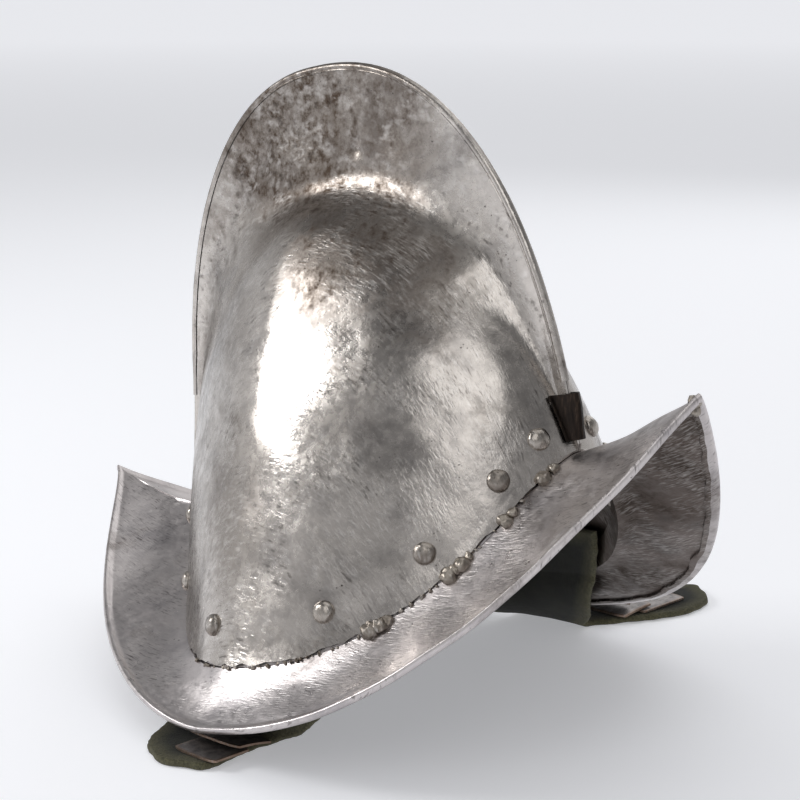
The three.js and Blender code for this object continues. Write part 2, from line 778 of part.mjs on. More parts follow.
const lying = new THREE.Group();
lying.add(helmet);
const leftStrap = sheetGeometry(strapGrid(leftStrapStations, strapLeftReach), strapThickness);
const rightStrap = mirrored(sheetGeometry(strapGrid(rightStrapStations, strapRightReach), strapThickness));
lying.add(piece('cheekpiece_left', leftStrap, leather));
lying.add(piece('cheekpiece_right', rightStrap, leather));
for (const lame of leftLames) {
  lying.add(piece(lame.name, sheetGeometry(lameGrid(lame, lameLeftReach), lameSheet), darkSteel));
}
for (const lame of rightLames) {
  const geometry = mirrored(sheetGeometry(lameGrid(lame, lameRightReach), lameSheet));
  lying.add(piece(lame.name, geometry, darkSteel));
}

// The origin is on the floor under the middle of the whole piece
const morion = new THREE.Group();
morion.add(lying);
morion.updateMatrixWorld(true);
const box = new THREE.Box3().setFromObject(lying, true);
lying.position.set(-(box.min.x + box.max.x) / 2, -(box.min.y + box.max.y) / 2, -box.min.z);

export default morion;
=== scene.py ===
import math
from functools import partial

import bmesh
import bpy
import numpy as np
from bpy.props import FloatProperty, FloatVectorProperty, IntProperty, PointerProperty
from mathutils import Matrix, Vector
from numpy.linalg import norm


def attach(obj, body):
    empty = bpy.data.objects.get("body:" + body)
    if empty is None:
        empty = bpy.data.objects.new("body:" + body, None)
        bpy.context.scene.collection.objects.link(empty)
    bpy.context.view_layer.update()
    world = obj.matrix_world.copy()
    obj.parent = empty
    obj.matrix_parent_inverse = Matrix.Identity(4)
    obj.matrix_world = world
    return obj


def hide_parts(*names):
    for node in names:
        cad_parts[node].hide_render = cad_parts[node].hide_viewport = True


bl_info = {
    "name": "Morion Helmet",
    "version": (1, 0, 0),
    "blender": (4, 5, 0),
    "location": "3D View > Sidebar > Morion",
    "description": "Builds a combed morion helmet lying on its leather cheekpieces",
    "category": "Add Mesh",
}

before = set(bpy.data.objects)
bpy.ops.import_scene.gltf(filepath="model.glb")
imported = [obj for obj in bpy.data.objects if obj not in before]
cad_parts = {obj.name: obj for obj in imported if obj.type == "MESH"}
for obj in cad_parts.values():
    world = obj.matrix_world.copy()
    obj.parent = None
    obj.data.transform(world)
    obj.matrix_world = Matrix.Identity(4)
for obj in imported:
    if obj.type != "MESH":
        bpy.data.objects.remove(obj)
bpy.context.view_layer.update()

# The helmet's own frame is in millimetres, with the wearer looking along -Y. It lies pitched
# nose up, with its seam's middle this far over the floor and beside the scene's origin.
PITCH = math.radians(11.64)
PLACE = np.array([39.0, 14.115, 34.0])

# Laws of the steel shell, in millimetres. Of two numbers together, the first is for the front.
OPENING_HALF_WIDTH = 101.0
OPENING_HALF_LENGTH = 127.0
SKULL_HEIGHT = 187.6
SKULL_WALL = 1.5
HUB_HEIGHT = 60.0
FRONT_RISE = 53.6
REAR_RISE = 69.2
COMB_BASE_HEIGHT = 63.1
COMB_HEIGHT = 180.0
COMB_LENGTHS = (113.0, 119.9)
COMB_POWERS = (2.15, 2.32)
BEAD_DEPTH = 4.5
BEAD_HALF_GAP = 1.55
HOLDER_FOOT = 4.2
HOLDER_LENGTH = 19.0
BRIM_SHEET = 1.3
BRIM_SAG = 8.8
COLLAR_HEIGHT = 8.0
COLLAR_GAP = 0.6
SEAM_GAP = 0.45
HEM_WIDTH = 5.5
BRIM_HALF_WIDTH = 122.0
BRIM_DROP = 20.3
BRIM_SHIFT = 3.5
BRIM_REACHES = (179.8, 184.1)
BRIM_LIFTS = (93.8, 108.0)
BRIM_LIFT_POWERS = (1.53, 2.55)
BRIM_PLAN_POWERS = (2.14, 2.25)
BRIM_TIP_POWERS = (1.16, 0.92)
RIVET_RISE = 15.5
LAST_RIVET_RISE = 13.5
STRAP_THICKNESS = 3.0
STRAP_TOP_HEIGHT = 56.0
STRAP_WIDTH = 100.0
STRAP_INSET = 6.2
LAME_SHEET = 1.2
LAME_GAP = 0.95
# The leather's lowest points stand this far over the floor, in metres
FLOOR_GAP = 0.0002

# Shares of the half length at which rivets and drops of braze sit, negative to the front
RIVET_SHARES = (-0.84, -0.53, -0.108, 0.365, 0.67, 0.87, 0.965)
LEFT_DROPS = (0.52, 0.55, 0.73, 0.765, 0.87, 0.955)
RIGHT_DROPS = (-0.35, 0.3, 0.7)

# Drops of braze at each of those places: how far behind it as a share, then in millimetres the
# radius, its least and most part, and how far out the drop sits
DROP_SIZES = ((0.0, 4.0, 0.75, 1.05, 1.5), (0.018, 2.6, 0.7, 1.1, 1.1))

# Stations of the leather from its top inside the skull to its tip on the floor:
# out (share of the reach), up (share of the top height), front, rear (shares of the width), follow
LEFT_STATIONS = np.array([
    (0, 1, -0.3, 0.6, 1), (0, 0.8, -0.31, 0.57, 1), (0, 0.6, -0.32, 0.53, 1),
    (0, 0.42, -0.34, 0.5, 1), (-0.03, 0.24, -0.36, 0.43, 0.7), (0, 0.1, -0.38, 0.3, 0.15),
    (0.1, 0, -0.38, 0.15, 0), (0.35, 0, -0.34, 0.15, 0), (0.62, 0, -0.28, 0.16, 0),
    (0.88, 0, -0.2, 0.16, 0), (1.02, 0, -0.16, 0.12, 0),
])
RIGHT_STATIONS = np.array([
    (0, 1, -0.34, 0.6, 1), (0, 0.8, -0.36, 0.55, 1), (0, 0.6, -0.38, 0.48, 1),
    (0.01, 0.42, -0.38, 0.42, 1), (0.06, 0.27, -0.35, 0.34, 0.9), (0.17, 0.13, -0.32, 0.23, 0.55),
    (0.26, 0.045, -0.31, 0.13, 0.2), (0.34, 0, -0.34, 0.1, 0), (0.46, 0, -0.5, 0.2, 0),
    (0.6, 0, -0.4, 0.29, 0), (0.78, 0, -0.16, 0.33, 0), (0.93, 0, -0.04, 0.28, 0),
    (1.02, 0, 0.04, 0.17, 0),
])

# Steel lames: node, start and end shares of the lames' reach, start and end lift in plates'
# thicknesses, front and rear shares of the strap's width, and the arch in the same thicknesses
LEFT_LAMES = (
    ("lame_left_1", 0.3, 0.64, 0.4, 0.4, -0.05, 0.2, 0.0),
    ("lame_left_2", 0.1, 0.43, 0.5, 2.6, -0.12, 0.2, 0.3),
)
RIGHT_LAMES = (
    ("lame_right_1", 0.82, 1.24, 0.4, 0.4, 0.02, 0.23, 0.0),
    ("lame_right_2", 0.66, 0.94, 0.5, 2.0, -0.05, 0.21, 0.3),
    ("lame_right_3", 0.5, 0.8, 8.2, 3.6, -0.16, 0.17, 0.5),
)

# Straps: name, side, leather's stations and reach, lames and the lames' reach
STRAPS = (
    ("left", 1, LEFT_STATIONS, 47.0, LEFT_LAMES, 62.0),
    ("right", -1, RIGHT_STATIONS, 125.0, RIGHT_LAMES, 82.0),
)

# Dents hammered or knocked into the shell: side, y, z, radius, depth in millimetres
DENTS = (
    (1, 22, 205, 3.2, 1.5), (1, -44, 206, 13, 1.1), (1, -58, 190, 10, 0.9),
    (1, 30, 120, 26, 0.7), (1, -30, 95, 30, 0.6), (1, 75, 130, 16, 0.6),
    (-1, 10, 190, 12, 0.9), (-1, -50, 110, 24, 0.8), (-1, 60, 105, 20, 0.7),
)

# Where brown patina lies thick on the shell, with painted dark reflection of the room on the comb
# and the dome's top, in the scene's metres: centre, radius, strength
SHELL_STAINS_AND_PAINTED_REFLECTIONS = (
    ((0.043, -0.045, 0.243), 0.068, 1.0), ((0.043, 0.002, 0.252), 0.048, 0.85),
    ((0.062, 0.01, 0.205), 0.05, 0.9), ((0.068, 0.052, 0.2), 0.036, 0.75),
    ((0.07, -0.052, 0.155), 0.036, 0.55), ((0.1, -0.012, 0.085), 0.045, 0.5),
)

# The stage, in metres and watts: lamps as name, place, size, power, and the sky's brightness at
# shares of its height
FLOOR_RADIUS = 40.0
LAMPS = (
    ("key_softbox", (1.0, -1.1, 0.9), 0.62, 10.5), ("camera_softbox", (1.4, 0.9, 1.7), 1.5, 7.0),
    ("top_softbox", (-0.3, 0.0, 1.9), 2.2, 9.5), ("far_softbox", (-1.5, -0.6, 1.0), 1.2, 3.5),
)
LAMP_TARGET = (0.03, 0.0, 0.12)
SKY_LEVELS = ((0.0, 0.85), (0.06, 0.8), (0.2, 0.7), (0.38, 0.5), (0.6, 0.26), (1.0, 0.2))
CAMERA_PLACE = (0.7167, 0.6635, 0.3306)
CAMERA_TARGET = (0.0270, 0.0066, 0.1283)


def lay(points):
    """Points of the helmet's own frame in millimetres, laid in the scene in metres."""
    x, y, z = points[..., 0], points[..., 1], points[..., 2]
    cos, sin = math.cos(PITCH), math.sin(PITCH)
    return (np.stack([x, y * cos - z * sin, y * sin + z * cos], -1) + PLACE) / 1000


def last_inside(test, limit):
    """The last distance along each ray at which a test still holds."""
    near = np.zeros_like(limit)
    far = limit.copy()
    for _ in range(19):
        middle = (near + far) / 2
        holds = test(middle)
        near = np.where(holds, middle, near)
        far = np.where(holds, far, middle)
    return (near + far) / 2


def smooth_step(low, high, value):
    share = np.clip((value - low) / (high - low), 0, 1)
    return share * share * (3 - 2 * share)


# The powers and factors in the laws from here on were fitted to the photograph's outlines


def skull_half_width(z):
    level = np.clip(z / SKULL_HEIGHT, 0, 1)
    return OPENING_HALF_WIDTH * (1 - level**0.85) ** (1 / 1.94)


def skull_half_length(z):
    level = np.clip(z / SKULL_HEIGHT, 0, 1)
    return OPENING_HALF_LENGTH * (1 - level**2.25) ** (1 / 2.05)


def plan_share(share):
    return (1 - np.clip(np.abs(share), 0, 1) ** 1.74) ** np.where(share < 0, 1.05, 0.53)


def skull_point(share, z):
    return np.stack([skull_half_width(z) * plan_share(share), skull_half_length(z) * share, z], -1)


def seam_height(share):
    away = np.abs(share)
    return np.where(share < 0, FRONT_RISE * away**2.37, REAR_RISE * away**2.72)


def seam_point(share):
    return skull_point(share, seam_height(share))


def inside_skull(x, y, z):
    share = y / np.maximum(skull_half_length(z), 1e-6)
    return (z < SKULL_HEIGHT) & (np.abs(share) < 1) & (x < skull_half_width(z) * plan_share(share))


def skull_reach(angle):
    y, z = np.cos(angle), np.sin(angle)
    limit = np.full_like(angle, 2 * SKULL_HEIGHT)
    return last_inside(lambda r: inside_skull(0 * r, r * y, HUB_HEIGHT + r * z), limit)


def comb_rise(angle):
    y, z = np.cos(angle), np.sin(angle)

    def inside_comb(r):
        along = np.abs(r * y) / np.where(y < 0, *COMB_LENGTHS)
        above = np.abs(HUB_HEIGHT + r * z - COMB_BASE_HEIGHT) / COMB_HEIGHT
        power = np.where(y < 0, *COMB_POWERS)
        return along**power + above**power < 1

    rise = last_inside(inside_comb, np.full_like(angle, 2 * COMB_HEIGHT)) - skull_reach(angle)
    return np.where(np.abs(rise) > 6, np.maximum(rise, 0), (rise + 6) ** 2 / 24)


def crest_point(angle):
    reach = skull_reach(angle) + comb_rise(angle)
    return np.stack([0 * angle, reach * np.cos(angle), HUB_HEIGHT + reach * np.sin(angle)], -1)


def shell_half_width(y, z, inset):
    """Half width of the skull and comb together at heights and places along the helmet."""
    angle = np.arctan2(z - HUB_HEIGHT, y)
    rise = comb_rise(angle)
    depth = skull_reach(angle) + rise - np.hypot(y, z - HUB_HEIGHT)
    blade = 1.25 + 3.75 * smooth_step(BEAD_DEPTH, 70, depth) - inset
    widest = 8 + 18 * np.abs(np.cos(angle))
    fillet = np.maximum(np.minimum(widest, 0.85 * np.maximum(rise - BEAD_DEPTH, 0)), 1e-6)

    def outside(x):
        ray = np.stack([x, y, z - HUB_HEIGHT], -1)
        length = norm(ray, axis=-1)
        u = unit(ray)
        limit = np.full_like(x, 2 * SKULL_HEIGHT)
        edge = last_inside(
            lambda r: inside_skull(r * u[..., 0], r * u[..., 1], HUB_HEIGHT + r * u[..., 2]), limit
        )
        far = 0.92 * (length - edge) + inset
        near = x - blade
        share = np.maximum(fillet - np.abs(far - near), 0) / fillet
        return np.minimum(far, near) - share * share * fillet / 4

    return last_inside(lambda x: outside(x) < 0, np.full_like(y, 1.2 * OPENING_HALF_WIDTH))


def even_parameters(curve, low, high, count):
    """Values of a curve's parameter that divide it into equal lengths."""
    values = np.linspace(low, high, 1200)
    points = curve(values)
    steps = norm(np.diff(points, axis=0), axis=1)
    lengths = np.concatenate([[0], np.cumsum(steps)])
    return np.interp(np.linspace(0, lengths[-1], count + 1), lengths, values)


def waves(points, size, seed, count=14):
    """A smooth unevenness from -1 to 1 with features of about a size, the same on every run."""
    chance = np.random.default_rng(seed)
    total = np.zeros(points.shape[:-1])
    for _ in range(count):
        direction = chance.normal(size=3)
        direction /= norm(direction)
        stride = 2 * math.pi / (size * chance.uniform(1.2, 3.0))
        total += np.sin(points @ direction * stride + chance.uniform(0, 2 * math.pi))
    return total / math.sqrt(count) * 0.7


def unit(vectors):
    """Vectors made 1 long, each along the last axis."""
    return vectors / np.maximum(norm(vectors, axis=-1), 1e-9)[..., None]


def loft_faces(rows, columns, wrap_rows):
    """Quads over a grid of points whose rows are closed, and whose columns may be."""
    faces = []
    for r in range(rows if wrap_rows else rows - 1):
        here, there = r * columns, (r + 1) % rows * columns
        for c in range(columns):
            n = (c + 1) % columns
            faces.append((here + c, there + c, there + n, here + n))
    return faces


def link_object(name, data):
    item = bpy.data.objects.new(name, data)
    bpy.context.scene.collection.objects.link(item)
    return item


def finish_piece(name, mesh):
    """A visible piece of the helmet, which is one body."""
    piece = link_object(name, mesh)
    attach(piece, "root")
    return piece


def make_piece(name, points, faces, materials, zones=None, crease=40):
    """A piece from points in metres, facing outwards and without collapsed faces."""
    mesh = bpy.data.meshes.new(name)
    mesh.from_pydata([tuple(p) for p in points], [], faces)
    for material in materials:
        mesh.materials.append(material)
    if zones is not None:
        mesh.polygons.foreach_set("material_index", np.array(zones, np.int32))
    work = bmesh.new()
    work.from_mesh(mesh)
    bmesh.ops.remove_doubles(work, verts=work.verts, dist=2e-6)
    bmesh.ops.dissolve_degenerate(work, edges=work.edges, dist=1e-6)
    if work.calc_volume(signed=True) < 0:
        bmesh.ops.reverse_faces(work, faces=work.faces)
    work.to_mesh(mesh)
    work.free()
    mesh.shade_smooth()
    mesh.set_sharp_from_angle(angle=math.radians(crease))
    return finish_piece(name, mesh)


def linear(hex_colour):
    """An sRGB colour as '#rrggbb' turned to linear red, green, blue and alpha."""
    values = [int(hex_colour[i : i + 2], 16) / 255 for i in (1, 3, 5)]
    return (*[v / 12.92 if v <= 0.04045 else ((v + 0.055) / 1.055) ** 2.4 for v in values], 1.0)


def add_node(tree, kind, inputs=(), stops=(), **settings):
    """Adds a node with its settings and a ramp's stops, and links or sets its inputs by name, by
    number or in the node's order. A node as an input stands for its first output. A kind without
    "Node" in it is a shader node. A Map Range takes its value, its range from and its range to,
    and a colour Mix its factor at 0 and its colours at 6 and 7."""
    node = tree.nodes.new(kind if "Node" in kind else f"ShaderNode{kind}")
    for key, value in settings.items():
        setattr(node, key, value)
    for key, value in inputs.items() if isinstance(inputs, dict) else enumerate(inputs):
        if isinstance(value, bpy.types.Node):
            value = value.outputs[0]
        if isinstance(value, bpy.types.NodeSocket):
            tree.links.new(value, node.inputs[key])
        else:
            node.inputs[key].default_value = value
    if stops:
        elements = node.color_ramp.elements
        while len(elements) < len(stops):
            elements.new(0.5)
        for element, (position, colour) in zip(elements, stops):
            element.position = position
            element.color = colour
    return node


def new_material(name):
    material = bpy.data.materials.new(name)
    material.use_nodes = True
    material.node_tree.nodes.clear()
    node = partial(add_node, material.node_tree)
    return material, node, node("TexCoord").outputs["Object"]


def set_surface(node, inputs, bumps=()):
    """Ends a material with its shader, over bumps of (height, strength, distance, inwards)."""
    normal = {}
    for height, strength, distance, inwards in bumps:
        normal = {"Normal": node("Bump", {
            "Height": height, "Strength": strength, "Distance": distance, **normal},
            invert=inwards)}
    shader = node("BsdfPrincipled", {**inputs, **normal})
    node("OutputMaterial", {"Surface": shader})


def steel_material(name, bright, tint, patina, patina_share, roughness, seed, stains_and_painted_reflections=()):
    """Forged steel plate, ground and brushed by hand, with brown patina, pits and rust specks.
    The eye sees pale satin metal with soft brown clouds, short strokes and small dark pits.
    Each stain is a place of thick patina, and on the shell also of painted dark reflection of the
    room, as (centre, radius, strength)."""
    if name in bpy.data.materials:
        return bpy.data.materials[name]
    material, node, place = new_material(name)
    shift = (0.31 * seed, -0.17 * seed, 0.23 * seed)
    moved = node("Mapping", {"Vector": place, "Location": shift})
    # Clouds of patina 15 to 60 mm wide, an uneven tone of 26 mm, swarms of pits 18 mm wide, and
    # a finer mottle of 2 to 5 mm
    clouds, tone, swarm, mottle = [
        node("TexNoise", {
            "Vector": moved, "Scale": scale, "Detail": detail, "Roughness": rough,
            "Distortion": distortion})
        for scale, detail, rough, distortion in (
            (17.0, 9.0, 0.66, 0.6), (38.0, 5.0, 0.6, 0.0), (55.0, 3.0, 0.6, 0.0),
            (210.0, 6.0, 0.7, 0.0))]
    covered = node("MapRange", (clouds, 0.62 - 0.3 * patina_share, 0.80 - 0.3 * patina_share))
    mottle_mask = node("MapRange", (mottle, 0.42, 0.7, 0.0, 0.5))
    # The clouds' colour is about a half, so it shifts a place by half its factor
    frayed = node("VectorMath", (clouds.outputs["Color"], (0.06, 0.06, 0.06), place),
                  operation="MULTIPLY_ADD")
    # Stains are thick patina, and on the shell also painted dark reflection of the room that
    # darkens the comb and the dome's top
    for centre, radius, strength in stains_and_painted_reflections:
        moved_centre = Vector(centre) + Vector((0.03, 0.03, 0.03))
        away = node("VectorMath", (frayed, moved_centre), operation="DISTANCE")
        stain_and_painted_reflection = node("MapRange", (away.outputs["Value"], radius, 0.5 * radius, 0.0, strength))
        covered = node("Math", (covered, stain_and_painted_reflection), operation="MAXIMUM")
    patina_and_reflection_mask = node("Math", (covered, mottle_mask), operation="MULTIPLY")
    soft_mask = node("Math", (covered, 0.66, patina_and_reflection_mask), operation="MULTIPLY_ADD",
                     use_clamp=True)
    base = node("ValToRGB", {0: tone}, [(0.32, linear(tint)), (0.5, linear(bright))])
    # Grinding strokes 4 to 5 mm long and 0.7 mm apart, coarser than real so that they show
    stroke = 0.0
    for turn, stretch in (((0.5, 0.25, 0.3), 1500), ((1.2, -0.4, 1.9), 1250),
                          ((0.1, 1.1, 0.9), 1700)):
        lined = node("Mapping", {
            "Vector": moved, "Rotation": turn, "Scale": (stretch, 210.0, 260.0)})
        line = node("TexNoise", {"Vector": lined, "Scale": 1.0})
        field = node("TexNoise", {"Vector": moved, "Scale": 22.0 + stretch / 100})
        where = node("MapRange", (field, 0.46, 0.58))
        cut = node("MapRange", (line, 0.5, 0.72))
        here = node("Math", (cut, where), operation="MULTIPLY")
        stroke = node("Math", (stroke, here), operation="MAXIMUM")
    # Rust pits 0.3 to 1.2 mm wide, ragged, in loose swarms
    ragged = node("VectorMath", {0: mottle.outputs["Color"], "Scale": 0.0022}, operation="SCALE")
    bent = node("VectorMath", (moved, ragged), operation="ADD")
    pits = node("TexVoronoi", {"Vector": bent, "Scale": 480.0})
    pit_size = node("MapRange", (swarm, 0.5, 0.8, 0.0, 0.3))
    pit = node("Math", (pits, pit_size), operation="LESS_THAN")
    # Colours, one over another: steel, patina with painted dark reflection where stains are given,
    # pale strokes, and dark flecks and pits
    brown = node("ValToRGB", {0: mottle}, [(0.35, linear(patina)), (0.7, linear("#463b33"))])
    worn = node("Mix", {0: soft_mask, 6: base, 7: brown}, data_type="RGBA")
    scraped = node("Math", (stroke, 0.42), operation="MULTIPLY")
    scratched = node("Mix", {
        0: scraped, 6: worn.outputs[2], 7: linear("#d9d5d1")}, data_type="RGBA")
    flecks = node("MapRange", (line, 0.42, 0.3, 0.0, 0.55))
    dark_fleck = node("Math", (flecks, where), operation="MULTIPLY")
    dark_pit = node("Math", (pit, 0.8, dark_fleck), operation="MULTIPLY_ADD", use_clamp=True)
    final = node("Mix", {
        0: dark_pit, 6: scratched.outputs[2], 7: linear("#2b211b")}, data_type="RGBA")
    shine = node("MapRange", (mottle, 0.3, 0.75, roughness - 0.08, roughness + 0.14))
    dull = node("Math", (soft_mask, 0.16, shine), operation="MULTIPLY_ADD")
    set_surface(node, {"Base Color": final.outputs[2], "Roughness": dull, "Metallic": 1.0}, (
        (stroke, 0.42, 0.00011, True), (mottle, 0.14, 0.0003, False),
        (tone, 0.26, 0.0018, False), (pit, 0.35, 0.0003, True)))
    return material


def bronzed_material():
    """Dark blued steel plate whose edges have gone bronze brown, scratched by other plates."""
    material, node, place = new_material("bronzed_steel_plate")
    mottle = node("TexNoise", {"Vector": place, "Scale": 260.0, "Detail": 6.0, "Roughness": 0.65})
    lined = node("Mapping", {
        "Vector": place, "Rotation": (0, 0, 0.5), "Scale": (300.0, 2600.0, 300.0)})
    lines = node("TexNoise", {"Vector": lined, "Scale": 1.0})
    edge = node("Attribute", attribute_name="edge").outputs["Fac"]
    face = node("ValToRGB", {0: mottle}, [
        (0.3, linear("#6b696b")), (0.5, linear("#938e8c")), (0.7, linear("#aca7a5"))])
    colour = node("Mix", {0: edge, 6: face, 7: linear("#8a6b4f")}, data_type="RGBA")
    rough = node("MapRange", (lines, 0.35, 0.7, 0.38, 0.6))
    set_surface(node, {"Base Color": colour.outputs[2], "Roughness": rough, "Metallic": 1.0}, (
        (lines, 0.4, 0.0002, False), (mottle, 0.45, 0.0006, False)))
    return material


def blackened_material():
    """Forge-blackened iron: nearly black brown scale with rusty streaks, dull to the eye."""
    material, node, place = new_material("blackened_iron")
    streaks = node("Mapping", {"Vector": place, "Scale": (700.0, 700.0, 120.0)})
    scale = node("TexNoise", {"Vector": streaks, "Scale": 1.0, "Detail": 5.0, "Roughness": 0.65})
    colour = node("ValToRGB", {0: scale}, [
        (0.3, linear("#17110e")), (0.55, linear("#2d241e")), (0.75, linear("#57483c"))])
    rough = node("MapRange", (scale, 0.0, 1.0, 0.42, 0.7))
    set_surface(node, {"Base Color": colour, "Roughness": rough, "Metallic": 0.7}, (
        (scale, 0.5, 0.0005, False),))
    return material


def suede_material(face, worn):
    """Old suede leather, a split hide with its nap out: matt, softer and paler at its edges."""
    material, node, place = new_material("old_suede_leather")
    # The nap's clumps are 0.6 to 1.1 mm wide, and rubbed patches 10 to 20 mm
    nap = node("TexNoise", {"Vector": place, "Scale": 900.0, "Detail": 5.0, "Roughness": 0.75})
    rub = node("TexNoise", {"Vector": place, "Scale": 55.0, "Detail": 5.0, "Roughness": 0.6})
    edge = node("Attribute", attribute_name="edge").outputs["Fac"]
    ground = node("ValToRGB", {0: rub}, [
        (0.3, linear("#0b0c08")), (0.5, linear(face)), (0.72, linear("#23241a"))])
    fluff = node("Math", (edge, nap), operation="MULTIPLY")
    fuzz = node("Math", (fluff, 1.7), operation="MULTIPLY", use_clamp=True)
    colour = node("Mix", {0: fuzz, 6: ground, 7: linear(worn)}, data_type="RGBA")
    speck = node("MapRange", (nap, 0.35, 0.7, 0.7, 1.25))
    shaded = node("VectorMath", (colour.outputs[2], speck), operation="MULTIPLY")
    set_surface(node, {
        "Base Color": shaded, "Roughness": 0.95, "Sheen Weight": 0.05, "Sheen Roughness": 0.5}, (
        (rub, 0.5, 0.002, False), (nap, 0.8, 0.0009, False)))
    return material


def shell_steel():
    """Pale hammered steel of the skull and comb, with its brown stains and painted dark
    reflections.
    """
    patina = bpy.context.scene.morion_look.patina
    return steel_material("brushed_forged_steel", "#bfb9b3", "#9a9591", "#524539", patina, 0.22, 1,
                          SHELL_STAINS_AND_PAINTED_REFLECTIONS)


def dark_steel():
    """Darker russet steel of the inner faces and the brim's underside: partly steel that was never
    ground, partly painted shade on the faces turned away from the light.
    """
    return steel_material("russet_steel_with_painted_shade", "#6f645e", "#5b5653", "#43362d", 0.7, 0.36, 3)


def brim_steel():
    """Steel of the brim, a little bluer and duller than the shell, with less patina."""
    patina = bpy.context.scene.morion_look.patina * 0.75
    return steel_material("pitted_brim_steel", "#c9c3c2", "#aaa5a6", "#6d6057", patina, 0.33, 2)


def rivet_steel():
    """Dull steel of the hand-made rivet heads."""
    return steel_material("dull_rivet_steel", "#a8a199", "#7d766f", "#54463b", 0.5, 0.26, 5)


def braze_steel():
    """Grey-brown braze, rough as it ran out of the seam."""
    return steel_material("braze_drops", "#9d958b", "#756b61", "#4d4036", 0.6, 0.36, 8)


def shell_grid(side, look):
    """Outer and inner points of one half of the skull with its half of the comb."""
    columns, rows, blade_rows = look.shell_columns, 74, 26
    shares = even_parameters(seam_point, -1, 1, columns)
    rear = math.atan2(REAR_RISE - HUB_HEIGHT, skull_half_length(REAR_RISE))
    front = math.atan2(FRONT_RISE - HUB_HEIGHT, -skull_half_length(FRONT_RISE))
    angles = even_parameters(crest_point, front % (2 * math.pi), rear, columns)
    bottom = seam_point(shares)[:, 1:]
    top = crest_point(angles)[:, 1:]
    top[0], top[-1] = bottom[0], bottom[-1]
    # The lower edge was chewed by old work, so it stands a little above the seam in places
    chance = np.random.default_rng(7 + side)
    chew = np.convolve(chance.uniform(0, 1.5, columns + 1) ** 2, np.ones(3) / 3, "same")
    chew *= smooth_step(0.02, 0.1, 1 - np.abs(shares))
    edge = bottom + np.stack([0 * chew, chew], -1)

    def inside(share):
        point = bottom + (top - bottom) * share[:, None]
        return inside_skull(0 * share, point[:, 0], point[:, 1])

    crown = np.clip(last_inside(inside, np.ones(columns + 1)), 0.55, 0.93)
    low = 1 - (1 - np.linspace(0, 1, rows + 1)) ** 1.5
    high = np.linspace(0, 1, blade_rows + 1)[1:] ** 1.2
    share = np.concatenate([crown[:, None] * low, crown[:, None] + (1 - crown[:, None]) * high], 1)
    plane = edge[:, None, :] + (top - edge)[:, None, :] * share[..., None]
    y, z = plane[..., 0], plane[..., 1]
    outer = shell_half_width(y, z, 0.0)
    inner = np.maximum(shell_half_width(y, z, SKULL_WALL), 0.15)
    angle = np.arctan2(z - HUB_HEIGHT, y)
    depth = skull_reach(angle) + comb_rise(angle) - np.hypot(y, z - HUB_HEIGHT)
    calm = smooth_step(4, 26, depth) * smooth_step(0, 9, z - edge[:, None, 1])
    blade = smooth_step(BEAD_DEPTH, 14, depth) * smooth_step(0, 9, z - edge[:, None, 1])
    flat = np.stack([side * outer, y, z], -1)
    shift = -0.4 * calm * (1 + waves(flat, 16.0, 21 + side)) * look.dents
    shift -= 0.1 * blade * (1 + waves(flat, 12.0, 31 + side)) * look.dents
    for where, dent_y, dent_z, radius, dent_depth in DENTS:
        if where == side:
            away = np.hypot(y - dent_y, z - dent_z) / radius
            shift -= dent_depth * np.exp(-(away**2) * 1.6) * blade * look.dents
    shift = np.maximum(shift, 0.62 - outer)
    return (np.stack([side * (outer + shift), y, z], -1),
            np.stack([side * np.maximum(inner + shift, 0.12), y, z], -1))


def brim_edge(share):
    away = np.abs(share)
    front = share < 0
    lift = np.where(front, *BRIM_LIFTS) * away ** np.where(front, *BRIM_LIFT_POWERS)
    side = (1 - away ** np.where(front, *BRIM_PLAN_POWERS)) ** np.where(front, *BRIM_TIP_POWERS)
    y = BRIM_SHIFT * (1 - away) + np.where(front, *BRIM_REACHES) * share
    return np.stack([BRIM_HALF_WIDTH * side, y, lift - BRIM_DROP], -1)


def whole_ring(left):
    """Points up the left side, and back down the right side as their mirror image."""
    return np.concatenate([left, left[1:-1][::-1] * [-1, 1, 1]])


def inset_ring(ring, distance):
    """Points moved inwards in plan by an even distance."""
    def normals(a, b):
        return unit(np.stack([-(b - a)[:, 1], (b - a)[:, 0], 0 * a[:, 0]], -1))

    first = normals(np.roll(ring, 1, 0), ring)
    second = normals(ring, np.roll(ring, -1, 0))
    turn = 1 + np.sum(first * second, 1)
    return ring + (first + second) * (distance / np.maximum(turn, 0.3))[:, None]


